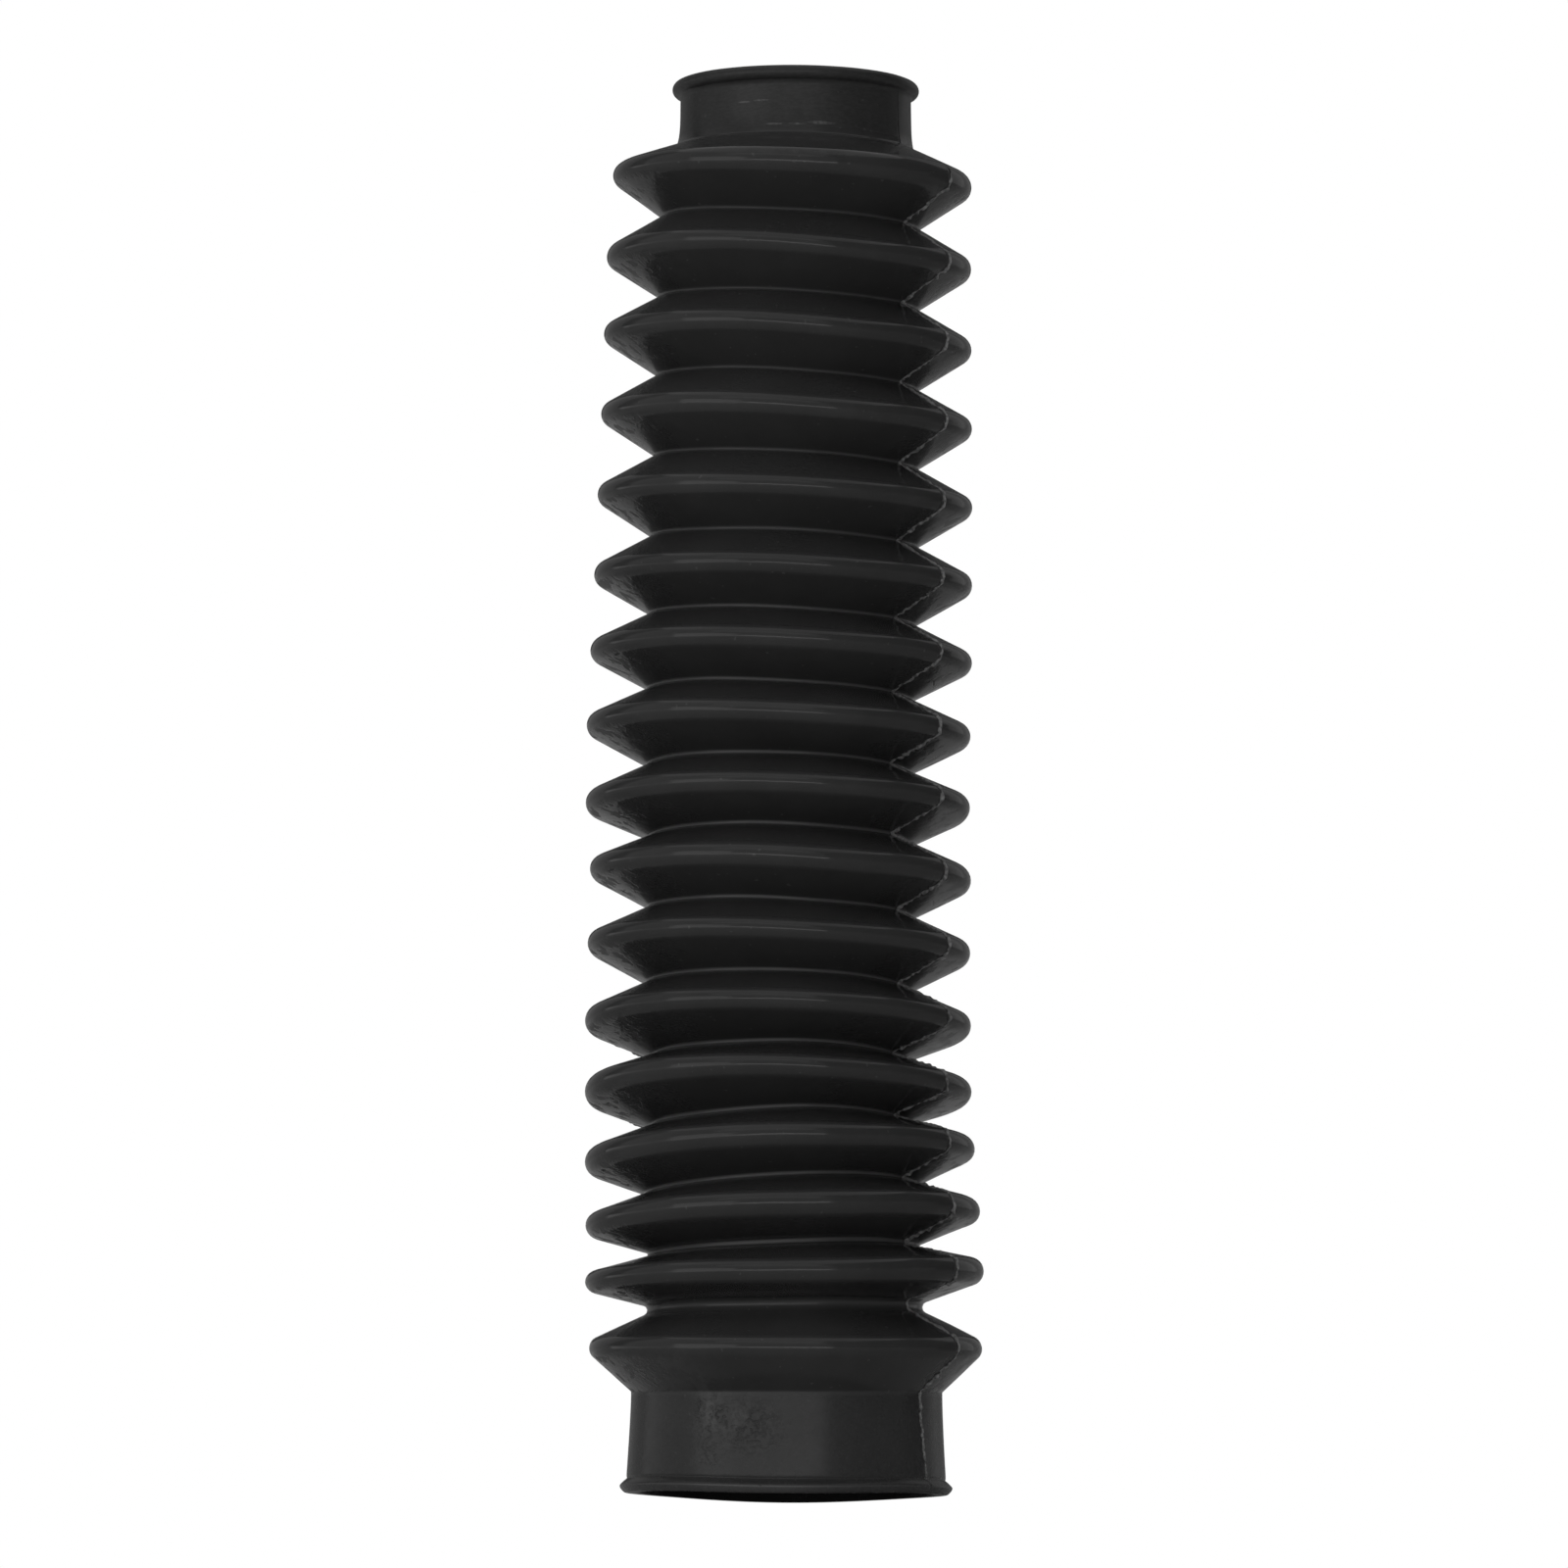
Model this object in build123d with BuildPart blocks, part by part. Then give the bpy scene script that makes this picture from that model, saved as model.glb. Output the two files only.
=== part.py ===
from build123d import *
import os
from math import acos, atan2, degrees, hypot

# A moulded rubber boot that covers the rod of a shock absorber.
# It is one thin wall: a stack of folds between a wide lower collar and a narrow upper one.
# Z runs through both bores. The origin is at the middle of the lower rim, which it stands on.
# Sizes are in millimetres.

# Lower collar, clamped round the wider tube
lower_bore_d = 60.0
lower_wall = 1.8
lower_height = 20.4
shoulder_r = 0.3

# Upper collar, clamped round the narrower tube
upper_bore_d = 43.0
upper_wall = 1.8
upper_height = 13.0
collar_root_r = 0.8

# Folded wall. A valley lies this share of the pitch above the crest below it.
fold_count = 17
fold_wall = 1.4
lowest_crest_d = 80.4
highest_crest_d = 73.0
lowest_valley_d = 55.4
highest_valley_d = 52.8
crest_r = 2.6
valley_r = 0.3
valley_share = 0.48

# The folds settle under their own weight, so the lower ones lie closer
closest_pitch = 12.0
widest_pitch = 16.45

# The lowest fold stands on the shoulder of its collar, and the highest carries the upper collar
shoulder_to_crest = 8.9
lowest_crest_r = 2.4
lowest_pitch = 14.1
lowest_valley_share = 0.55
crest_to_collar = 7.3

# Lip round the foot of the lower collar
lip_out = 1.9
lip_height = 2.7
lip_tip_height = 1.4
lip_foot_out = 1.3
lip_tip_r = 0.3

# Bead round the mouth of the upper collar: a half round on a short neck
bead_d = 2.7
bead_neck = 0.25


def blend(low, high, share):
    """A size that lies this share of the way from low to high."""
    return low + (high - low) * share


def pitch_above(fold):
    """Distance from one crest to the next one up, with the folds counted up from 0."""
    if fold == 0:
        return lowest_pitch
    share = (fold - 1) / max(fold_count - 3, 1)
    return blend(closest_pitch, widest_pitch, 1 - (1 - share) ** 2)


def flank_slope(crest, valley):
    """Angle from level of the straight flank that touches a crest's arc and a valley's."""
    span = crest[0] - valley[0]
    rise = abs(crest[1] - valley[1])
    return degrees(acos((crest[2] + valley[2]) / hypot(span, rise)) - atan2(span, rise))


# Radii and heights that the sizes above lead to
lower_r = lower_bore_d / 2 + lower_wall
upper_r = upper_bore_d / 2 + upper_wall
crest_z = lower_height + shoulder_to_crest

# The outer face bends in and out at arcs, from the shoulder of the lower collar to the root of
# the upper one. Each is given by the radius and height of its centre, then its own radius.
valleys = [(lower_r + shoulder_r, lower_height, shoulder_r)]
crests = []
for fold in range(fold_count):
    share = fold / (fold_count - 1)
    bend_r = crest_r if fold else lowest_crest_r
    crests.append((blend(lowest_crest_d, highest_crest_d, share) / 2 - bend_r, crest_z, bend_r))
    if fold < fold_count - 1:
        valley_z = crest_z + (valley_share if fold else lowest_valley_share) * pitch_above(fold)
        valley_radius = blend(lowest_valley_d, highest_valley_d, share) / 2
        valleys.append((valley_radius + valley_r, valley_z, valley_r))
        crest_z += pitch_above(fold)
collar_z = crest_z + crest_to_collar
valleys.append((upper_r + collar_root_r, collar_z, collar_root_r))
overall_height = collar_z + upper_height

# Slopes of the flanks that lead from each arc to the next. The collars' walls stand upright.
slopes = [90]
for crest, valley_below, valley_above in zip(crests, valleys, valleys[1:]):
    slopes.append(flank_slope(crest, valley_below))
    slopes.append(flank_slope(crest, valley_above))
slopes.append(90)

with BuildPart() as boot:
    with BuildSketch(Plane.XZ) as section:

        # Folded wall, drawn along its outer face and given its thickness on the inside.
        # It runs on to the end of each collar.
        with BuildLine():
            end = (lower_r, 0)
            for bend in range(2 * fold_count + 1):
                below, above = slopes[bend], slopes[bend + 1]
                if bend % 2:
                    x, z, r = crests[bend // 2]
                    arc = CenterArc((x, z), r, below - 90, 180 - below - above)
                else:
                    x, z, r = valleys[bend // 2]
                    arc = CenterArc((x, z), r, 270 - below, below + above - 180)
                Line(end, arc @ 0)
                end = arc @ 1
            Line(end, (upper_r, overall_height))
            offset(amount=fold_wall, side=Side.LEFT)
        make_face()

        # Collars: their bores are kept clear, and their walls are made up to full thickness
        for bore_d, wall, foot_z, height in (
            (lower_bore_d, lower_wall, 0, lower_height),
            (upper_bore_d, upper_wall, collar_z, upper_height),
        ):
            with Locations((0, foot_z)):
                Rectangle(bore_d / 2, height, align=(Align.MIN, Align.MIN), mode=Mode.SUBTRACT)
            with Locations((bore_d / 2, foot_z)):
                Rectangle(wall, height, align=(Align.MIN, Align.MIN))

        # Bead round the mouth
        with Locations((upper_r, overall_height - bead_d / 2)):
            Rectangle(bead_neck, bead_d, align=(Align.MIN, Align.CENTER))
        with Locations((upper_r + bead_neck, overall_height - bead_d / 2)):
            Circle(bead_d / 2)

        # Lip round the foot
        with BuildSketch(mode=Mode.PRIVATE) as lip:
            with BuildLine():
                Polyline(
                    (lower_r, 0),
                    (lower_r + lip_foot_out, 0),
                    (lower_r + lip_out, lip_tip_height),
                    (lower_r, lip_height),
                    close=True,
                )
            make_face()
            fillet(lip.vertices().sort_by(Axis.X)[-1], radius=lip_tip_r)
        add(lip.sketch)

    revolve(axis=Axis.Z)

boot.part.label = "boot"

os.makedirs("parts", exist_ok=True)
export_step(boot.part, "parts/boot.step")
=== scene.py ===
"""A shock absorber boot of black moulded rubber, standing on its wide collar in a white studio.

The boot is one thin wall that has settled a little under its own weight: its folds lie closer
towards the foot, lean a little to and fro, and bow to one side between the two collars.
Sizes are in millimetres until they become mesh points. Z runs through both collars' bores.
Angle 0 is +X, and -90 degrees faces the camera.
"""

from math import acos, atan2, cos, degrees, exp, hypot, pi, radians, sin

import bpy
import numpy as np
from mathutils import Matrix, Vector


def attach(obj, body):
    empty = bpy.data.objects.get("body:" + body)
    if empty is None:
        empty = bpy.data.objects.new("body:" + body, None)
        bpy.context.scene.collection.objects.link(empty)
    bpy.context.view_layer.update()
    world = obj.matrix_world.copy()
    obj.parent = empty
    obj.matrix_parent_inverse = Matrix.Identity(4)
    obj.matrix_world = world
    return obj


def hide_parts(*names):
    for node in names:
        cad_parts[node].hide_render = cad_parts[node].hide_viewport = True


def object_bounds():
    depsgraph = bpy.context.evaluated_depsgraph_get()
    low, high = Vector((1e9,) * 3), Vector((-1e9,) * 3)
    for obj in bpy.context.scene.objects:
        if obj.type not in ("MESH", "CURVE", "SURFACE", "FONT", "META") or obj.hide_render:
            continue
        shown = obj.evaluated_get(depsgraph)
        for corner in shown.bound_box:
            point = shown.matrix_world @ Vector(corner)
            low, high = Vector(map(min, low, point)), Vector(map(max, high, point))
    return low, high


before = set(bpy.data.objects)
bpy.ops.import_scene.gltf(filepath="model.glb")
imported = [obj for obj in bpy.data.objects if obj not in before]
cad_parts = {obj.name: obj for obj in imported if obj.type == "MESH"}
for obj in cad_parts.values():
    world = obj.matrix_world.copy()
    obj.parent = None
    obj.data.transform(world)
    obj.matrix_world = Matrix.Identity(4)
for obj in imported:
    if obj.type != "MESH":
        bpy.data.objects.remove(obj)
cad_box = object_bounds()
MM = 0.001
HEIGHT = cad_box[1].z / MM

# Collars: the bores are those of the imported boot
LOWER_BORE_R = 30.0
LOWER_R = 31.4
LOWER_HEIGHT = 20.4
SHOULDER_R = 0.3
UPPER_BORE_R = 21.5
UPPER_R = 23.5
UPPER_HEIGHT = 13.0
UPPER_FOOT = HEIGHT - UPPER_HEIGHT
COLLAR_ROOT_R = 0.8

# The lower collar's wall flares on its way down to the lip, less so in front and behind
LOWER_WALL_TOP = LOWER_HEIGHT - 0.8
LOWER_WALL_FOOT = 4.2
FOOT_FLARE = 0.75
FOOT_FLARE_POWER = 1.3
FRONT_FLAT = 0.8

# The upper collar's wall flares at its root, and ends a little below the bead
UPPER_WALL_RISE = 0.7
UPPER_WALL_GAP = 0.15
ROOT_FLARE = 0.6
ROOT_FLARE_FADE = 2.2

# Lip round the foot: (out from the flared wall, height)
LIP_OUTLINE = (
    (0.3, 0.0), (0.5, 0.06), (0.85, 0.36), (1.18, 0.74), (1.36, 1.05), (1.42, 1.32), (1.34, 1.56),
    (1.08, 1.86), (0.5, 2.42), (0.16, 2.68), (0.0, 2.82), (-0.06, 2.95), (0.0, 3.1), (0.03, 3.3),
    (0.02, 3.7),
)

# Bead round the mouth, and the small round on the edge of each bore
BEAD_D = 2.7
BEAD_NECK = 0.3
BEAD_START = -80
MOUTH_FLAT = 0.6
RIM_ROUND = 0.2

# Folds, counted up from 0 at the foot. A valley lies its share of the pitch above its crest.
FOLDS = 17
WALL = 1.4
CREST_R = 2.6
LOWEST_CREST_R = 2.45
VALLEY_R = 0.3
LOW_VALLEY_RS = (1.15, 0.5)
VALLEY_SHARE = 0.483
LOWEST_VALLEY_SHARE = 0.555
LOWEST_CREST_Z = 29.25
PITCHES = (
    14.1, 12.0, 12.85, 13.0, 13.9, 15.1, 14.9, 14.25, 15.35, 15.05, 15.65, 16.1, 16.4, 16.4, 16.5,
    16.4,
)

# Radii of the crests and of the valleys above them: (fold, radius)
CREST_KEYS = (
    (0, 39.65), (1, 40.25), (2, 39.85), (3, 39.4), (4, 39.1), (5, 39.05), (7, 38.6), (8, 38.95),
    (10, 38.7), (12, 38.05), (14, 37.4), (15, 37.1), (16, 36.5),
)
VALLEY_KEYS = (
    (0, 27.8), (1, 27.5), (2, 27.6), (3, 26.0), (4, 25.6), (5, 26.9), (7, 26.5), (9, 27.1),
    (11, 27.2), (13, 26.7), (15, 26.3),
)

# The bow to the left between the collars is about a quarter of BOW, and less towards the top
BOW = -11.4
BOW_LOSS = 4.5

# How far it strays from that bow: (height, shift to the right)
SIDE_KEYS = (
    (20, 0.0), (30, -0.25), (44, 0.0), (56, 0.0), (69, -0.3), (82, -0.4), (96, -0.25), (111, 0.0),
    (125, 0.3), (139, -0.3), (155, -0.3), (170, 0.0), (202, 0.1), (219, 0.0), (235, -0.25),
    (268, -0.35), (276, 0.0), (288, 0.0),
)

# How the folds lean: (height, lift) of the left and the near side. The far ones are as much lower.
LEFT_LIFT_KEYS = (
    (0, 0.0), (14, 0.0), (20, -0.15), (30, -0.3), (44, -1.4), (56, -1.6), (69, -1.55), (82, -0.15),
    (96, 0.25), (110, 0.85), (125, 1.3), (139, 0.45), (155, 0.95), (170, 1.2), (187, 1.0),
    (202, 1.3), (219, 1.4), (235, 1.4), (251, 0.8), (268, 1.15), (276, 0.0), (288, 0.0),
)
NEAR_LIFT_KEYS = (
    (0, -0.9), (5, -0.95), (12, -1.5), (20, -2.0), (29, -2.6), (37, -0.55), (50, 0.0), (62, 1.0),
    (76, 1.7), (89, 1.6), (104, 1.25), (119, 0.75), (133, 1.25), (148, 0.65), (163, 0.0),
    (180, -0.6), (196, -0.6), (212, -0.9), (227, -0.7), (243, -0.95), (260, -0.8), (275, 0.0),
    (288, 0.2),
)

# How the folds' rims hang against their creases in front, and there on the right against the left
RIM_LIFT_KEYS = (
    (29, 0.15), (43, -1.0), (55, -0.05), (68, -0.2), (81, 0.4), (95, 0.0), (110, -0.4),
    (125, -0.6), (139, -0.2), (155, -0.6), (170, -0.1), (185, -0.45), (201, -0.65), (218, -0.6),
    (234, -0.35), (251, -0.3), (267, -1.0),
)
RIM_LEAN_KEYS = (
    (29, 0.0), (43, -0.7), (55, -0.6), (68, -1.0), (81, -1.3), (95, -0.85), (110, -0.65),
    (125, -0.3), (139, -0.6), (155, -0.5), (170, -0.15), (185, -0.5), (201, -0.6), (218, -0.9),
    (234, -0.8), (251, -1.8), (267, -0.5),
)

# What each side does alone: its creases lift, and its rims against them
RIGHT_CREASE_KEYS = (
    (29, -0.1), (42, -0.5), (62, -0.75), (75, -0.45), (82, -0.15), (104, -0.05), (118, 0.45),
    (134, 0.5), (148, 0.0), (163, 0.2), (180, 0.2), (225, 0.2), (240, 0.0), (251, -0.5),
    (262, 0.1), (275, 0.0),
)
RIGHT_RIM_KEYS = ((29, 0.0), (43, 0.95), (68, 0.9), (84, 0.1), (100, 0.0))
LEFT_CREASE_KEYS = (
    (29, 0.0), (36, 0.5), (50, 0.4), (76, 0.35), (90, 0.05), (104, 0.1), (118, -0.2), (134, -0.1),
    (147, 0.15), (170, 0.0),
)
LEFT_RIM_KEYS = ((29, 0.0), (43, -0.1), (55, -0.4), (76, -0.35), (90, 0.0))

# How far the foot hangs in front and behind: (height, drop)
SAG_KEYS = ((0, 0.9), (5, 0.8), (12, 0.2), (20, 0.0), (30, 0.0))

# How far the parting line wanders round the boot: (height, degrees)
TWIST_KEYS = (
    (0, -0.9), (5, -1.2), (20, -3.8), (29, -1.5), (36, 0.0), (43, -2.5), (49, 0.0), (56, -3.0),
    (62, 0.0), (69, -2.2), (76, 1.0), (82, -1.8), (89, 2.5), (96, -0.8), (104, 1.5), (111, 0.0),
    (288, 0.0),
)

# Where things come in or fade out: free folds, ripples and parting line by height, rims by radius
FREE_FROM = (LOWER_HEIGHT + 4, LOWER_HEIGHT + 14)
FREE_TO = (UPPER_FOOT - 3, UPPER_FOOT - 13)
RIPPLES_FROM = (LOWER_HEIGHT, LOWER_HEIGHT + 4)
SEAM_FROM = (0.5, 2.5)
SEAM_TO = (HEIGHT - 3, HEIGHT - 5)
RIM_FROM = (27, 37)

# Small ripples of the moulded skin, from waves of any length and direction within these ranges
RIPPLES = 14
RIPPLE_SEED = 3
RIPPLE_TURNS = (2, 26)
RIPPLE_LENGTHS = (7, 45)
RIPPLE_R = 0.022

# Folds that sway up and down on their way round: (turns, radians per mm of height, phase)
SWAY_WAVES = (
    (2, 0.021, 0.4), (3, -0.043, 2.1), (2, 0.083, 4.4), (4, 0.062, 1.2), (5, -0.11, 5.1),
)
SWAY_Z = 0.10

# The mould's parting line: a ridge with a groove on its left, lower on the upper collar
RIDGE = 0.12
RIDGE_SPREAD = 2.2
GROOVE = 0.42
GROOVE_FROM = -1.15
GROOVE_TO = -0.25
UPPER_SEAM = 0.4

# Flash along it, on the right of the camera and on the far left: (name, angle, share of height)
FLASHES = (("flash_right", -28.0, 1.0), ("flash_left", 152.0, 0.5))
FLASH_SEED = 11
FLASH_FROM = 2.5
FLASH_TO = UPPER_FOOT - 6
FLASH_STEP = 0.33
FLASH_HALF_WIDTH = 0.24
FLASH_HEIGHT = 0.36
FLASH_ROOT = 0.12
FLASH_WIDTH_SPREAD = 0.5
FLASH_WIDTH_LIMITS = (0.4, 2.0)
FLASH_END = 0.2

# It wanders slowly and zigzags quickly, and it frays most on the lower flanks
FLASH_WANDER = 0.07
FLASH_WANDER_STEPS = 6
FLASH_ZIGZAG = 0.21
FLASH_ZIGZAG_LEAST = 0.25
FLASH_FRAY_MEAN = 0.75
FLASH_FRAY = 0.45
FLASH_FRAY_BELOW = 0.3
FLASH_FRAY_LIMITS = (0.05, 1.8)

# Its section, from one foot to the other: (share of half width, share of height, None at a foot)
FLASH_RIBS = ((-1.0, None), (-0.85, 0.45), (-0.3, 0.95), (0.3, 1.0), (0.85, 0.4), (1.0, None))

# Scuffs: (angle, height, half width, half height, strength), and the mean radii of the skin there
SCUFFS = (
    (-103, 13.5, 7.5, 5.0, 1.0),
    (-118, 8.0, 4.0, 4.0, 0.6),
    (-116, 16.0, 3.4, 4.5, 1.7),
    (-140, 25.5, 12.0, 2.6, 0.8),
    (-84, 268.6, 9.0, 0.5, 0.5),
)
SCUFF_R_LOW = 33.0
SCUFF_R_HIGH = 26.0
SCUFF_SPLIT = 150

# Small marks on the camera's side: (x, height, half width, half height), at one depth
SCRATCHES = (
    (-10.4, 280.35, 1.6, 0.28), (-7.0, 280.55, 2.0, 0.26), (5.2, 275.9, 3.6, 0.5),
    (0.4, 275.6, 2.4, 0.3), (-4.2, 275.6, 2.6, 0.28),
)
NICKS = (
    (-32.9, 165.1, 0.95, 0.35), (-33.6, 121.4, 0.95, 0.35), (-35.2, 168.2, 1.0, 0.3),
    (-35.9, 124.5, 0.9, 0.3), (28.75, 163.6, 0.45, 0.6), (29.0, 119.3, 0.45, 0.6),
    (-36.4, 78.1, 0.8, 0.3), (-37.3, 64.3, 1.0, 0.28), (-32.2, 61.9, 0.8, 0.3),
    (-5.1, -0.4, 0.5, 0.35),
)
MARK_Y = -30
MARK_DEPTH = 35

# How much duller than the folds each collar is, and the heights between which that comes in
LOWER_DULL = 1.6
LOWER_DULL_TO = (LOWER_HEIGHT + 0.5, LOWER_HEIGHT - 0.3)
UPPER_DULL = 2.6
UPPER_DULL_FROM = (UPPER_FOOT - 0.3, UPPER_FOOT + 1.2)

# Painted highlight this near each valley's bottom, fainter in the shoulder and round the lip
CREASE_REACH = 0.42
SHOULDER_HIGHLIGHT = 0.4
LIP_HIGHLIGHT = 0.6
LIP_HIGHLIGHT_TOP = 1.4
LIP_HIGHLIGHT_EDGE = 1.2
LIP_HIGHLIGHT_OUT = 0.2

# Painted highlight is stronger facing the camera, up to a height, and fainter near the top
FRONT_HIGHLIGHT = 1.3
FRONT_HIGHLIGHT_ANGLE = -98
FRONT_HIGHLIGHT_SPREAD = 28
FRONT_HIGHLIGHT_TO = (230, 140)
HIGH_HIGHLIGHT_LOSS = 0.4
HIGH_HIGHLIGHT_FROM = (170, 230)

# Rougher lower flanks at both sides: (angle, strength), and by cosine, depth and radius where it starts
ROUGH_SIDES = ((-168, 1.0), (-8, 0.6))
ROUGH_WITHIN = (0.7, 0.95)
ROUGH_DEPTH = 0.6
ROUGH_FROM = (28, 32)

# Mesh fineness: columns round the boot, and steps on each crest, valley and flank
COLUMNS = 148
SEAM_CLEAR = 5.5
NEAR_SEAM = (-4.5, -2.8, -1.6, -1.15, -0.93, -0.7, -0.48, -0.25, 0.4, 1.4, 2.8, 4.5)
OUTER_STEPS = (10, 4, 3)
INNER_STEPS = (3, 2, 1)
FLANK_END = 0.04
LOWER_WALL_POINTS = 11
UPPER_WALL_POINTS = 10
BEAD_STEPS = 12
BORE_POINTS = 4
BORE_END = 4

# Black rubber reflects about 1% of what it faces
IOR = 1.225

# Studio, in metres and degrees. Screens behind and to the right are lighter below and dark above.
SCREEN_R = 2.4
SCREEN_FROM = -62
SCREEN_TURN = 70
SCREEN_TO = 145
HIGH_SCREEN_TO = 160
SCREEN_LOW = 0.0
SCREEN_SPLIT = 0.42
SCREEN_HIGH = 3.2
RIGHT_GREY = 0.85
BACK_GREY = 0.5
HIGH_GREY = 0.12

# Cards that only reflections show: a wall left and in front, glows behind, tables, and painted floor
# shade
WALL_R = 3.4
WALL_LOW = 0.5
WALL_HIGH = 4.5
DIM_WALL = 0.5
EDGE_R = 2.3
EDGE_HIGH = 3.0
EDGE_GLOWS = (
    ("near", 8, 34, 0.1), ("right", 36, 56, 0.46), ("right_edge", 56, 76, 0.22),
    ("left", 106, 142, 0.26),
)
TABLE_Z = 0.001
TABLES = (
    ("dark_table", 0.1, ((0.5, 0.4), (2.2, 0.4), (2.2, 1.4))),
    ("side_table", 0.22, ((-0.1, 0.4), (0.5, 0.4), (2.2, 1.4), (2.2, 2.2), (-0.1, 2.2))),
    ("left_table", 0.32, ((-2.2, 0.4), (-0.1, 0.4), (-0.1, 2.2), (-2.2, 2.2))),
    # Painted shade of the floor behind the boot, as reflections show it
    ("near_floor_shade", 0.27, ((-0.5, 0.05), (0.5, 0.05), (0.5, 0.4), (-0.5, 0.4))),
)
ARC_STEPS = 40

# The long low lamp in front
STRIP_Y = -2.35
STRIP_LEFT = -1.75
STRIP_RIGHT = 2.1
STRIP_LOW = 0.155
STRIP_HIGH = 0.45
STRIP_LEFT_END = 0.23
STRIP_RIGHT_END = 0.25
STRIP_GLOW = 4.4

# Floor, world and lamps
FLOOR_GREY = 0.75
FLOOR_HALF = 4.0
FLOOR_Z = -0.0019
WORLD_LIGHT = 0.64
LAMP_TARGET = (0, 0, 0.145)

# Camera: it looks a little up at the boot from a good way off
CAMERA_DISTANCE = 2.8
CAMERA_HEIGHT = -0.165
CAMERA_SIDE = -0.0014
CAMERA_PITCH = 6.296
CAMERA_ROLL = 0.40
LENS = 319.0
SENSOR = 36.0


def smooth(keys, at):
    """Values at these places on a smooth curve through a few (place, value) keys."""
    x, y = np.array(keys, float).T
    slope = np.gradient(y, x)
    i = np.clip(np.searchsorted(x, at, side="right") - 1, 0, len(x) - 2)
    span = x[i + 1] - x[i]
    t = np.clip((np.asarray(at, float) - x[i]) / span, 0, 1)
    start = (1 + 2 * t) * (1 - t) ** 2 * y[i] + t * (1 - t) ** 2 * span * slope[i]
    return start + t * t * (3 - 2 * t) * y[i + 1] + t * t * (t - 1) * span * slope[i + 1]


def rise(value, start, end):
    """0 up to start, 1 from end on, and even between. Start may be the higher of the two."""
    return np.clip((value - start) / (end - start), 0, 1)


def turned(angle, middle):
    """How far an angle is from another, from -pi to pi."""
    return (angle - middle + pi) % (2 * pi) - pi


def flank_slope(crest, valley):
    """Angle from level of the flank that touches a crest's arc and a valley's."""
    span = crest[0] - valley[0]
    rise_up = abs(crest[1] - valley[1])
    return degrees(acos((crest[2] + valley[2]) / hypot(span, rise_up)) - atan2(span, rise_up))


def arc(centre_r, centre_z, radius, start, end, steps):
    """Points (r, z) along an arc, its angles in degrees from straight out."""
    angles = np.radians(np.linspace(start, end, steps + 1))
    return [(centre_r + radius * cos(a), centre_z + radius * sin(a)) for a in angles]


def join(runs, steps):
    """Puts a few points on the straight line from each arc to the next, the outer ones near the arcs."""
    path = list(runs[0])
    for run in runs[1:]:
        a, b = np.array(path[-1]), np.array(run[0])
        path += [tuple(a + (b - a) * share) for share in np.linspace(FLANK_END, 1 - FLANK_END, steps)]
        path += run
    return path


def fold_bends():
    """Centre radius, height and own radius of each bend of the outer face, and the flanks' slopes."""
    valleys = [(LOWER_R + SHOULDER_R, LOWER_HEIGHT, SHOULDER_R)]
    crests = []
    z = LOWEST_CREST_Z
    for fold in range(FOLDS):
        bend_r = CREST_R if fold else LOWEST_CREST_R
        crests.append((float(smooth(CREST_KEYS, fold)) - bend_r, z, bend_r))
        if fold < FOLDS - 1:
            valley_z = z + (VALLEY_SHARE if fold else LOWEST_VALLEY_SHARE) * PITCHES[fold]
            bend_r = LOW_VALLEY_RS[fold] if fold < len(LOW_VALLEY_RS) else VALLEY_R
            valleys.append((float(smooth(VALLEY_KEYS, fold)) + bend_r, valley_z, bend_r))
            z += PITCHES[fold]
    valleys.append((UPPER_R + ROOT_FLARE + COLLAR_ROOT_R, UPPER_FOOT, COLLAR_ROOT_R))
    slopes = [90]
    for crest, below, above in zip(crests, valleys, valleys[1:]):
        slopes += [flank_slope(crest, below), flank_slope(crest, above)]
    return crests, valleys, slopes + [90]


def face_path(bends, depth, fineness):
    """The folded face at this depth inside the outer one, from the foot up, as points (r, z)."""
    crests, valleys, slopes = bends
    crest_steps, valley_steps, flank_steps = fineness
    runs = []
    for bend in range(2 * FOLDS + 1):
        below, above = slopes[bend], slopes[bend + 1]
        if bend % 2:
            x, z, r = crests[bend // 2]
            runs.append(arc(x, z, r - depth, below - 90, 90 - above, crest_steps))
        else:
            x, z, r = valleys[bend // 2]
            runs.append(arc(x, z, r + depth, 270 - below, 90 + above, valley_steps))
    return join(runs, flank_steps)


def foot_flare(z):
    """How far the lower collar's wall flares towards its lip."""
    return FOOT_FLARE * rise(z, LOWER_WALL_TOP, LOWER_WALL_FOOT) ** FOOT_FLARE_POWER


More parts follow.
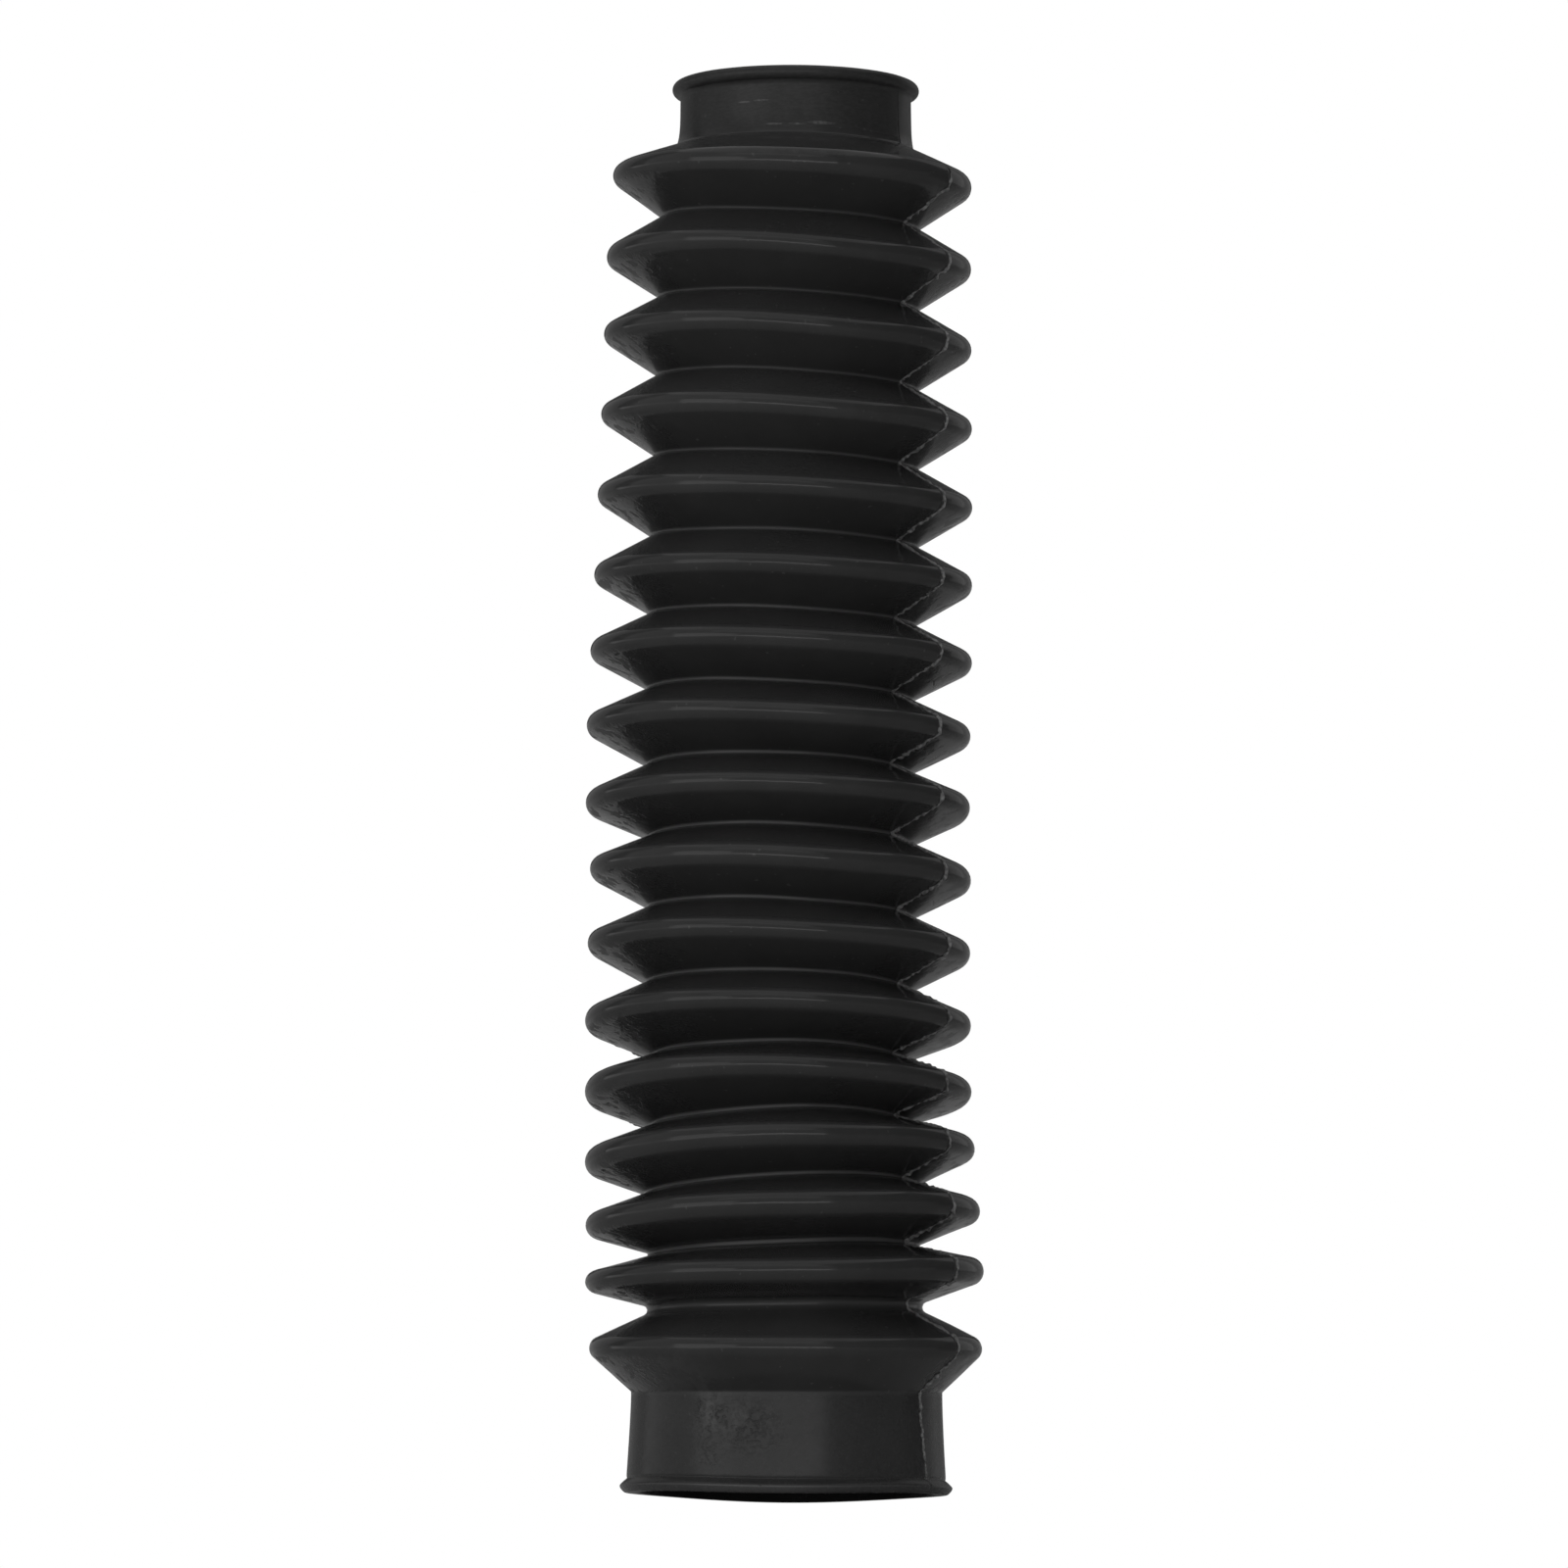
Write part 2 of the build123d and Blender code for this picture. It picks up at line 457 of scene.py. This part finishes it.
def profile():
    """The closed section of the boot: up the outer face, round the mouth, and down the inner face."""
    bends = fold_bends()

    # Foot: rim, lip, and a wall that flares towards the lip
    path = [(LOWER_BORE_R + RIM_ROUND, 0.0)]
    path += [(LOWER_R + FOOT_FLARE + out, z) for out, z in LIP_OUTLINE]
    for z in np.linspace(LOWER_WALL_FOOT, LOWER_WALL_TOP, LOWER_WALL_POINTS):
        path.append((LOWER_R + foot_flare(z), z))
    path += face_path(bends, 0, OUTER_STEPS)

    # Upper collar: a slight waist, then the bead and the mouth
    bead_z = HEIGHT - BEAD_D / 2
    wall_top = HEIGHT - BEAD_D - UPPER_WALL_GAP
    for z in np.linspace(UPPER_FOOT + UPPER_WALL_RISE, wall_top, UPPER_WALL_POINTS):
        path.append((UPPER_R + ROOT_FLARE * exp(-(z - UPPER_FOOT) / ROOT_FLARE_FADE), z))
    path += arc(UPPER_R + BEAD_NECK, bead_z, BEAD_D / 2, BEAD_START, 90, BEAD_STEPS)
    path += [(UPPER_R - MOUTH_FLAT, HEIGHT), (UPPER_BORE_R + RIM_ROUND, HEIGHT)]
    path.append((UPPER_BORE_R, HEIGHT - RIM_ROUND))
    path += [(UPPER_BORE_R, z) for z in np.linspace(HEIGHT - BORE_END, UPPER_FOOT, BORE_POINTS)]

    # Inner face, kept clear of both bores
    for r, z in reversed(face_path(bends, WALL, INNER_STEPS)):
        if LOWER_HEIGHT < z < UPPER_FOOT:
            path.append((max(r, UPPER_BORE_R), z))
    path += [(LOWER_BORE_R, z) for z in np.linspace(LOWER_HEIGHT, BORE_END, BORE_POINTS)]
    path.append((LOWER_BORE_R, RIM_ROUND))
    return np.array(path)


def ripple_waves():
    """The waves of the skin's ripples, each as (turns, radians per mm of height, phase)."""
    draw = np.random.default_rng(RIPPLE_SEED)
    turns = draw.integers(*RIPPLE_TURNS, RIPPLES)
    climbs = 2 * pi / draw.uniform(*RIPPLE_LENGTHS, RIPPLES) * draw.choice((-1, 1), RIPPLES)
    phases = draw.uniform(0, 2 * pi, RIPPLES)
    return list(zip(turns, climbs, phases))


def wave_sum(waves, angle, z):
    """The waves added up at these places, mostly from -1 to 1. They close round the boot."""
    total = 0
    for turns, climb, phase in waves:
        total = total + np.sin(turns * angle + climb * z + phase)
    return total / np.sqrt(len(waves))


RIPPLE_WAVES = ripple_waves()


def seam_relief(angle):
    """Where the halves of the mould met: a slight ridge, with a fine groove on its left."""
    relief = 0
    for _, seam, _ in FLASHES:
        off = np.degrees(turned(angle, radians(seam)))
        groove = GROOVE * np.sin(pi * rise(off, GROOVE_FROM, GROOVE_TO)) ** 2
        relief = relief + RIDGE * np.exp(-np.abs(off) / RIDGE_SPREAD) - groove
    return relief


def around():
    """Angles of the mesh's columns, closer together beside each seam."""
    seams = [seam for _, seam, _ in FLASHES]
    evenly = np.linspace(-180, 180, COLUMNS, endpoint=False)
    off = [np.abs((evenly - seam + 180) % 360 - 180) for seam in seams]
    kept = evenly[np.minimum(*off) > SEAM_CLEAR]
    beside = [seam + step for seam in seams for step in NEAR_SEAM]
    return np.radians(np.sort(np.concatenate([kept, beside])))


def settled(r, z, angle, seamed=1):
    """Where a point of the straight boot lies on the settled one. Seamed is 0 on the inner face."""
    relief = seam_relief(angle) * np.where(z > UPPER_FOOT, UPPER_SEAM, 1.0)
    angle = angle + np.radians(smooth(TWIST_KEYS, z))

    # Skin, seam and flattened foot, all in and out
    r = r + RIPPLE_R * wave_sum(RIPPLE_WAVES, angle, z) * rise(z, *RIPPLES_FROM)
    r = r + seamed * relief * rise(z, *SEAM_FROM) * rise(z, *SEAM_TO)
    r = r - seamed * FRONT_FLAT * foot_flare(z) * np.sin(angle) ** 2

    # Bow, sideways
    folded = rise(z, *FREE_FROM) * rise(z, *FREE_TO)
    z = z + SWAY_Z * folded * wave_sum(SWAY_WAVES, angle, z)
    share = rise(z, LOWEST_CREST_Z, UPPER_FOOT)
    bow = share * (1 - share) * (BOW + BOW_LOSS * share) + smooth(SIDE_KEYS, z)

    # Lean of the folds and hang of their rims, up and down
    rim = rise(r, *RIM_FROM) * folded
    lift = -np.cos(angle) * smooth(LEFT_LIFT_KEYS, z) - np.sin(angle) * smooth(NEAR_LIFT_KEYS, z)
    lift = lift - np.sin(angle) ** 4 * smooth(SAG_KEYS, z)
    lift = lift - rim * np.sin(angle) * smooth(RIM_LIFT_KEYS, z)
    lift = lift + rim * np.sin(angle) ** 2 * np.cos(angle) * smooth(RIM_LEAN_KEYS, z)
    right, left = np.clip(np.cos(angle), 0, 1) ** 2, np.clip(-np.cos(angle), 0, 1) ** 2
    lift = lift + right * (smooth(RIGHT_CREASE_KEYS, z) + rim * smooth(RIGHT_RIM_KEYS, z))
    lift = lift + left * (smooth(LEFT_CREASE_KEYS, z) + rim * smooth(LEFT_RIM_KEYS, z))
    return bow + r * np.cos(angle), r * np.sin(angle), z + lift


def collar_marks(z):
    """How much duller the collars are than the folds."""
    return LOWER_DULL * rise(z, *LOWER_DULL_TO) + UPPER_DULL * rise(z, *UPPER_DULL_FROM)


def scuff_marks(z, angle):
    """Soft oval scuffs."""
    scuff = np.zeros_like(z)
    for mark_angle, mark_z, half_width, half_height, strength in SCUFFS:
        skin_r = np.where(z < SCUFF_SPLIT, SCUFF_R_LOW, SCUFF_R_HIGH)
        across = turned(angle, radians(mark_angle)) * skin_r / half_width
        up = (z - mark_z) / half_height
        scuff = np.maximum(scuff, strength * np.exp(-(across ** 2 + up ** 2)))
    return scuff


def paint_crease_highlights(r, z, angle, valleys):
    """Painted highlight in the bottom of each valley and on the lip, but not in the upper collar's root.
    """
    dust_and_highlight = np.zeros_like(z)
    for centre_r, centre_z, bend_r in valleys[:-1]:
        share = min(1, 2 * VALLEY_R / bend_r) if centre_z > LOWER_HEIGHT else SHOULDER_HIGHLIGHT
        near = np.hypot(r - centre_r + bend_r, z - centre_z) < CREASE_REACH
        dust_and_highlight = np.maximum(dust_and_highlight, share * near)
    lip = (z < LIP_HIGHLIGHT_TOP) * (r > LOWER_R + FOOT_FLARE + LIP_HIGHLIGHT_OUT)
    dust_and_highlight = np.maximum(dust_and_highlight, lip * np.where(z > LIP_HIGHLIGHT_EDGE, 2 * LIP_HIGHLIGHT, LIP_HIGHLIGHT))
    # The painted highlight is stronger on the side facing the camera
    in_front = np.exp(-(((np.degrees(angle) - FRONT_HIGHLIGHT_ANGLE) / FRONT_HIGHLIGHT_SPREAD) ** 2))
    in_front = FRONT_HIGHLIGHT * in_front * rise(z, *FRONT_HIGHLIGHT_TO)
    return dust_and_highlight * (1 - HIGH_HIGHLIGHT_LOSS * rise(z, *HIGH_HIGHLIGHT_FROM) + in_front)


def rough_marks(r, z, angle, crests, valleys):
    """Rough skin on the lower flanks, at both sides."""
    side = np.zeros_like(z)
    for middle, strength in ROUGH_SIDES:
        within = rise(np.cos(angle - radians(middle)), *ROUGH_WITHIN)
        side = np.maximum(side, strength * within)
    under = np.zeros_like(z)
    for (_, crest_z, bend_r), (_, valley_z, _) in zip(crests, valleys):
        edge_z = crest_z - bend_r / 2
        under = np.maximum(under, rise(z, edge_z, edge_z - ROUGH_DEPTH) * (z > valley_z))
    return side * under * rise(r, *ROUGH_FROM)


def mark_skin(mesh, r, z, angle):
    """Stores where the collars, scuffs, painted crease highlights and rough flanks are, for the rubber
    to read.
    """
    crests, valleys, _ = fold_bends()
    marks = {
        "collar": collar_marks(z),
        "scuff": scuff_marks(z, angle),
        "crease_highlight": paint_crease_highlights(r, z, angle, valleys),
        "rough": rough_marks(r, z, angle, crests, valleys),
    }
    for name, values in marks.items():
        attribute = mesh.attributes.new(name, "FLOAT", "POINT")
        attribute.data.foreach_set("value", values.astype(np.float32).ravel())


def new_object(name, points, faces):
    """An object of this name in the scene, with its mesh."""
    mesh = bpy.data.meshes.new(name)
    mesh.from_pydata(points, [], faces)
    mesh.update()
    made = bpy.data.objects.new(name, mesh)
    bpy.context.collection.objects.link(made)
    return made


def boot_skin(name, section):
    """A closed skin round Z through every point of the section, settled as the boot is."""
    angles = around()[:, None]
    count = len(section)
    outside = (np.arange(count) < np.argmax(section[:, 1]))[None, :]
    r = section[:, 0][None, :]
    straight_z = np.repeat(section[:, 1][None, :], len(angles), 0)
    points = np.stack(settled(r, straight_z, angles, outside), axis=-1).reshape(-1, 3) * MM
    column = np.arange(len(angles))[:, None] * count
    next_column = np.roll(column, -1, axis=0)
    row = np.arange(count)[None, :]
    next_row = np.roll(row, -1, axis=1)
    quads = np.stack(
        [column + row, next_column + row, next_column + next_row, column + next_row], axis=-1
    ).reshape(-1, 4)
    piece = new_object(name, points.tolist(), quads.tolist())
    piece.data.shade_smooth()

    # No mark but the collars' and scuffs' lies on the inner face, where this radius is 0
    outer_r = np.where(outside, r, 0) + 0 * straight_z
    mark_skin(piece.data, outer_r, straight_z, np.repeat(angles, count, 1))
    return piece


def even_path(path, step):
    """The same path with its points an even step apart."""
    runs = np.hypot(*np.diff(path, axis=0).T)
    along = np.concatenate([[0], np.cumsum(runs)])
    at = np.linspace(0, along[-1], int(along[-1] / step))
    return np.stack([np.interp(at, along, path[:, 0]), np.interp(at, along, path[:, 1])], axis=-1)


def uneven(draw, count, spread):
    """Random values, mostly from -1 to 1, that change over this many steps."""
    kernel = np.hanning(2 * spread + 3)
    kernel = kernel / np.sqrt((kernel ** 2).sum())
    values = np.convolve(draw.normal(size=count + 2 * spread + 2), kernel, "valid")
    return np.clip(values[:count], -2, 2) / 1.4


def flash(name, angle, rises, seed):
    """The thin ragged line of rubber that the parting line leaves, from the lip to the top fold."""
    section = profile()
    outer = section[np.argmax(section[:, 1] > FLASH_FROM):]
    outer = outer[: np.argmax(outer[:, 1] > FLASH_TO)]
    path = even_path(outer, FLASH_STEP)
    count = len(path)
    run = np.gradient(path, axis=0)
    run /= np.linalg.norm(run, axis=1)[:, None]
    out_r, out_z = run[:, 1], -run[:, 0]

    # On the lower flanks the path runs outwards
    outwards = np.clip(np.convolve(run[:, 0], np.ones(5) / 5, "same") * 2, 0, 1)
    draw = np.random.default_rng(seed)
    wander = FLASH_WANDER * uneven(draw, count, FLASH_WANDER_STEPS)
    zigzag = FLASH_ZIGZAG_LEAST + (1 - FLASH_ZIGZAG_LEAST) * outwards
    shift = wander + zigzag * FLASH_ZIGZAG * uneven(draw, count, 1)
    fray = (FLASH_FRAY + FLASH_FRAY_BELOW * outwards) * uneven(draw, count, 1)
    height = FLASH_HEIGHT * rises * np.clip(FLASH_FRAY_MEAN + fray, *FLASH_FRAY_LIMITS)
    spread = FLASH_WIDTH_SPREAD * uneven(draw, count, 1)
    width = FLASH_HALF_WIDTH * np.clip(1 + spread, *FLASH_WIDTH_LIMITS)
    height[:3] *= FLASH_END
    height[-3:] *= FLASH_END
    lines = []
    for across, up in FLASH_RIBS:
        proud = -FLASH_ROOT if up is None else height * up
        side = (across * width + shift) / path[:, 0]
        line = settled(path[:, 0] + out_r * proud, path[:, 1] + out_z * proud, radians(angle) + side)
        lines.append(np.stack(line, axis=-1) * MM)
    points = np.stack(lines, axis=1).reshape(-1, 3)
    ribs = len(FLASH_RIBS)
    faces = [tuple(range(ribs)), tuple(reversed(range((count - 1) * ribs, count * ribs)))]
    for k in range(count - 1):
        for rib in range(ribs):
            a, b = k * ribs + rib, k * ribs + (rib + 1) % ribs
            faces.append((b, a, a + ribs, b + ribs))
    piece = new_object(name, points.tolist(), faces)
    piece.data.shade_smooth()
    return piece


class Nodes:
    """Short ways to add and join the nodes of one material or world."""

    def __init__(self, owner):
        owner.use_nodes = True
        self.tree = owner.node_tree
        self.shader = self.tree.nodes.get("Principled BSDF")

    def new(self, kind):
        return self.tree.nodes.new("ShaderNode" + kind)

    def link(self, value, socket):
        if isinstance(value, (int, float)):
            socket.default_value = value
        else:
            self.tree.links.new(value, socket)

    def noise(self, size, detail=2.0, roughness=0.5, stretch=None):
        """Noise with lumps of about this size, in metres."""
        node = self.new("TexNoise")
        node.inputs["Scale"].default_value = 1 / size
        node.inputs["Detail"].default_value = detail
        node.inputs["Roughness"].default_value = roughness
        place = self.new("TexCoord").outputs["Object"]
        if stretch:
            mapping = self.new("Mapping")
            mapping.inputs["Scale"].default_value = stretch
            self.link(place, mapping.inputs["Vector"])
            place = mapping.outputs["Vector"]
        self.link(place, node.inputs["Vector"])
        return node.outputs["Fac"]

    def ramp(self, value, low, high, start=0.0, end=1.0):
        """Carries low..high to start..end, and holds the ends."""
        node = self.new("MapRange")
        node.interpolation_type = "SMOOTHSTEP"
        for name, number in (("From Min", low), ("From Max", high), ("To Min", start), ("To Max", end)):
            node.inputs[name].default_value = number
        self.link(value, node.inputs["Value"])
        return node.outputs["Result"]

    def math(self, operation, first, second):
        node = self.new("Math")
        node.operation = operation
        self.link(first, node.inputs[0])
        self.link(second, node.inputs[1])
        return node.outputs[0]

    def times(self, first, second):
        return self.math("MULTIPLY", first, second)

    def plus(self, value, mask, change):
        """The value, with the change added in full where the mask is 1."""
        return self.math("ADD", value, self.times(mask, change))

    def attribute(self, name):
        node = self.new("Attribute")
        node.attribute_name = name
        return node.outputs["Fac"]

    def marks(self, spots):
        """1 inside small oval marks, given in millimetres as (x, z, half width, half height)."""
        place = self.new("TexCoord").outputs["Object"]
        total = 0.0
        for x, z, half_width, half_height in spots:
            mapping = self.new("Mapping")
            mapping.vector_type = "TEXTURE"
            mapping.inputs["Location"].default_value = (x * MM, MARK_Y * MM, z * MM)
            mapping.inputs["Scale"].default_value = (half_width * MM, MARK_DEPTH * MM, half_height * MM)
            self.link(place, mapping.inputs["Vector"])
            length = self.new("VectorMath")
            length.operation = "LENGTH"
            self.link(mapping.outputs["Vector"], length.inputs[0])
            total = self.math("ADD", self.ramp(length.outputs["Value"], 0.4, 1.0, 1.0, 0.0), total)
        return total

    def grey(self, value):
        """A neutral colour of this brightness."""
        node = self.new("CombineColor")
        for channel in ("Red", "Green", "Blue"):
            self.link(value, node.inputs[channel])
        return node.outputs["Color"]

    def bump(self, height, distance, normal=None):
        node = self.new("Bump")
        node.inputs["Distance"].default_value = distance
        self.link(height, node.inputs["Height"])
        if normal is not None:
            self.link(normal, node.inputs["Normal"])
        return node.outputs["Normal"]


def rubber():
    """Black moulded rubber: glossy on the folds, duller and more worn on the collars."""
    material = bpy.data.materials.new("black_rubber")
    n = Nodes(material)
    collar, scuff = n.attribute("collar"), n.attribute("scuff")
    crease_highlight, rough = n.attribute("crease_highlight"), n.attribute("rough")
    cloud = n.noise(0.022, 3.0)
    mottle = n.noise(0.0032, 4.0, 0.6)
    smear = n.noise(0.010, 4.0, 0.55, (1.0, 1.0, 0.22))
    brushed = n.noise(0.0012, 3.0, 0.6, (1.0, 1.0, 3.0))

    # Marks
    worn = n.times(scuff, n.ramp(mottle, 0.44, 0.62))
    pitted = n.times(scuff, n.ramp(n.noise(0.0011, 3.0, 0.65), 0.48, 0.62))
    dust_and_highlight = n.ramp(n.noise(0.0009, 0.0), 0.80, 0.86)
    blotch = n.times(rough, n.ramp(n.noise(0.0032, 2.0), 0.53, 0.58))
    scratch = n.times(n.marks(SCRATCHES), n.ramp(n.noise(0.0008, 2.0), 0.35, 0.6, 0.3, 1.0))
    nick = n.marks(NICKS)

    # Colour: nearly even, greyer where it is worn, dusty or scratched, with a painted highlight in the
    # creases
    tone = n.ramp(cloud, 0.3, 0.7, 0.0232, 0.0262)
    tone = n.math("ADD", tone, n.ramp(smear, 0.35, 0.75, -0.0008, 0.0016))
    for mark, change in (
        (worn, 0.018), (pitted, -0.007), (dust_and_highlight, 0.014), (scratch, 0.04), (nick, -0.012),
        (blotch, -0.004), (collar, -0.0014), (collar, n.ramp(brushed, 0.3, 0.7, -0.0012, 0.0012)),
        # Painted highlight along the creases, the shoulder and the lip
        (crease_highlight, 0.016),
    ):
        tone = n.plus(tone, mark, change)
    n.link(n.grey(tone), n.shader.inputs["Base Color"])

    # Gloss
    dull = n.ramp(mottle, 0.3, 0.7, 0.075, 0.115)
    dull = n.math("ADD", dull, n.ramp(smear, 0.4, 0.75, 0.0, 0.04))
    for mark, change in ((collar, 0.10), (nick, 0.4), (blotch, 0.25), (worn, 0.08)):
        dull = n.plus(dull, mark, change)
    n.link(dull, n.shader.inputs["Roughness"])
    n.shader.inputs["IOR"].default_value = IOR

    # Skin: a soft orange peel with fine grain, and each kind of mark raised or sunk, in metres
    normal = None
    for height, distance in (
        (n.noise(0.0045, 2.0), 0.00004), (n.noise(0.00055, 3.0, 0.6), 0.00001),
        (n.times(rough, n.noise(0.0008, 1.0)), 0.00009), (nick, -0.00008), (blotch, -0.00005),
        (pitted, -0.00006), (worn, 0.00003),
    ):
        normal = n.bump(height, distance, normal)
    n.link(normal, n.shader.inputs["Normal"])
    return material


def flash_rubber():
    """The same rubber, torn where the flash was trimmed, so it is duller and greyer."""
    material = bpy.data.materials.new("trimmed_rubber")
    n = Nodes(material)
    torn = n.noise(0.0006, 3.0, 0.65)
    n.link(n.grey(n.ramp(torn, 0.3, 0.7, 0.05, 0.17)), n.shader.inputs["Base Color"])
    n.link(n.ramp(torn, 0.3, 0.7, 0.3, 0.5), n.shader.inputs["Roughness"])
    n.shader.inputs["IOR"].default_value = IOR
    n.link(n.bump(torn, 0.00004), n.shader.inputs["Normal"])
    return material


def make_boot():
    boot = boot_skin("rubber_boot", profile())
    boot.data.materials.append(rubber())
    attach(boot, "root")
    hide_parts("boot")
    trimmed = flash_rubber()
    for seed, (name, angle, rises) in enumerate(FLASHES, FLASH_SEED):
        line = flash(name, angle, rises, seed)
        line.data.materials.append(trimmed)
        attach(line, "root")


def studio_floor():
    """A pale floor that shows from above only, because the camera looks up from below it.

    Like a glass table, it lets the lamps below light the undersides of the folds.
    """
    half = FLOOR_HALF
    corners = [(-half, -half, 0), (half, -half, 0), (half, half, 0), (-half, half, 0)]
    floor = new_object("studio_floor", corners, [(0, 1, 2, 3)])
    floor.location.z = FLOOR_Z
    material = bpy.data.materials.new("pale_floor")
    n = Nodes(material)
    n.shader.inputs["Base Color"].default_value = (FLOOR_GREY, FLOOR_GREY, FLOOR_GREY, 1)
    n.shader.inputs["Roughness"].default_value = 0.9
    underside = n.new("NewGeometry").outputs["Backfacing"]
    open_way = n.math("MAXIMUM", underside, n.new("LightPath").outputs["Is Shadow Ray"])
    mix = n.new("MixShader")
    n.link(open_way, mix.inputs["Fac"])
    n.link(n.shader.outputs["BSDF"], mix.inputs[1])
    n.link(n.new("BsdfTransparent").outputs["BSDF"], mix.inputs[2])
    n.link(mix.outputs["Shader"], n.tree.nodes["Material Output"].inputs["Surface"])
    floor.data.materials.append(material)


def studio_world():
    """White to the camera and in reflections; a plainer light on the object."""
    world = bpy.data.worlds.new("studio")
    bpy.context.scene.world = world
    n = Nodes(world)
    background = n.tree.nodes["Background"]
    background.inputs["Color"].default_value = (1, 1, 1, 1)
    path = n.new("LightPath")
    strength = WORLD_LIGHT
    for ray in ("Is Camera Ray", "Is Glossy Ray", "Is Transmission Ray"):
        strength = n.math("MAXIMUM", path.outputs[ray], strength)
    n.link(strength, background.inputs["Strength"])


def curved_wall(radius, start, end, low, high):
    """Points and faces of an upright wall on an arc about the boot."""
    points, quads = [], []
    for k in range(ARC_STEPS + 1):
        angle = radians(start + (end - start) * k / ARC_STEPS)
        x, y = radius * cos(angle), radius * sin(angle)
        points += [(x, y, low), (x, y, high)]
        if k:
            quads.append((2 * k - 2, 2 * k, 2 * k + 1, 2 * k - 1))
    return points, quads


def stage_card(name, points, faces):
    """A card out of the camera's sight, and the nodes of its material to fill in."""
    card = new_object(name, points, faces)
    card.visible_camera = False
    card.visible_shadow = False
    material = bpy.data.materials.new(name)
    card.data.materials.append(material)
    return card, Nodes(material)


def grey_screen(name, start, end, low, high, grey):
    """An upright screen that shades the boot's edges, so that they stay dark on the white."""
    card, n = stage_card(name, *curved_wall(SCREEN_R, start, end, low, high))
    card.visible_shadow = True
    n.shader.inputs["Base Color"].default_value = (grey, grey, grey, 1)
    n.shader.inputs["Roughness"].default_value = 1.0


def mirrored_card(name, points, faces, brightness):
    """An even card that only reflections show, as bright as this many times a white surface."""
    card, n = stage_card(name, points, faces)
    card.visible_diffuse = False
    n.shader.inputs["Base Color"].default_value = (0, 0, 0, 1)
    n.shader.inputs["Specular IOR Level"].default_value = 0
    n.shader.inputs["Emission Color"].default_value = (1, 1, 1, 1)
    n.shader.inputs["Emission Strength"].default_value = brightness


def studio_cards():
    """The screens, and what stands or lies about the boot for its reflections."""
    grey_screen("right_screen", SCREEN_FROM, SCREEN_TURN, SCREEN_LOW, SCREEN_SPLIT, RIGHT_GREY)
    grey_screen("back_screen", SCREEN_TURN, SCREEN_TO, SCREEN_LOW, SCREEN_SPLIT, BACK_GREY)
    grey_screen("high_screen", SCREEN_FROM, HIGH_SCREEN_TO, SCREEN_SPLIT, SCREEN_HIGH, HIGH_GREY)
    wall = curved_wall(WALL_R, HIGH_SCREEN_TO, 360 + SCREEN_FROM, WALL_LOW, WALL_HIGH)
    mirrored_card("dim_wall", *wall, DIM_WALL)
    for side, start, end, glow in EDGE_GLOWS:
        mirrored_card(side + "_glow", *curved_wall(EDGE_R, start, end, SCREEN_LOW, EDGE_HIGH), glow)
    for name, brightness, corners in TABLES:
        points = [(x, y, TABLE_Z) for x, y in corners]
        mirrored_card(name, points, [tuple(range(len(points)))], brightness)


def front_strip():
    """The long low lamp in front of the boot, brightest in the middle and soft at both ends."""
    points = [(x, STRIP_Y, z) for x in (STRIP_LEFT, STRIP_RIGHT) for z in (STRIP_LOW, STRIP_HIGH)]
    _, n = stage_card("front_strip", points, [(0, 2, 3, 1)])
    across = n.new("SeparateXYZ")
    n.link(n.new("TexCoord").outputs["Generated"], across.inputs["Vector"])
    left = n.ramp(across.outputs["X"], 0.0, STRIP_LEFT_END)
    right = n.ramp(across.outputs["X"], 1.0, 1 - STRIP_RIGHT_END)
    n.shader.inputs["Base Color"].default_value = (0, 0, 0, 1)
    n.shader.inputs["Emission Color"].default_value = (1, 1, 1, 1)
    n.link(n.times(n.times(left, right), STRIP_GLOW), n.shader.inputs["Emission Strength"])


def lamp(name, place, size, radiance, shines=True):
    """A soft rectangular lamp, as bright as this many times a white surface."""
    light = bpy.data.lights.new(name, "AREA")
    light.shape = "RECTANGLE"
    light.size, light.size_y = size
    light.energy = radiance * pi * size[0] * size[1]
    lamp_object = bpy.data.objects.new(name, light)
    lamp_object.location = place
    aim = Vector(LAMP_TARGET) - Vector(place)
    lamp_object.rotation_euler = aim.to_track_quat("-Z", "Y").to_euler()
    lamp_object.visible_glossy = shines
    bpy.context.collection.objects.link(lamp_object)


def studio_lamps():
    lamp("key_left", (-1.7, -1.5, 0.4), (1.6, 1.3), 1.7)
    front_strip()
    lamp("top_front", (-0.3, -1.45, 1.55), (2.0, 0.5), 0.75)
    lamp("low_fill", (0.25, -3.2, -0.5), (0.9, 0.9), 4.5, shines=False)


def camera():
    pitch, roll = radians(CAMERA_PITCH), radians(CAMERA_ROLL)
    ahead = Vector((0, cos(pitch), sin(pitch)))
    level_up = Vector((0, -sin(pitch), cos(pitch)))
    side = Vector((1, 0, 0))
    right = side * cos(roll) + level_up * sin(roll)
    up = level_up * cos(roll) - side * sin(roll)
    data = bpy.data.cameras.new("camera")
    data.lens = LENS
    data.sensor_width = SENSOR
    data.clip_start, data.clip_end = 0.1, 50
    view = bpy.data.objects.new("camera", data)
    view.location = (CAMERA_SIDE, -CAMERA_DISTANCE, CAMERA_HEIGHT)
    view.rotation_euler = Matrix((right, up, -ahead)).transposed().to_euler()
    bpy.context.collection.objects.link(view)
    bpy.context.scene.camera = view


camera()
make_boot()
studio_floor()
studio_world()
studio_cards()
studio_lamps()
bpy.context.scene.view_settings.view_transform = "Standard"
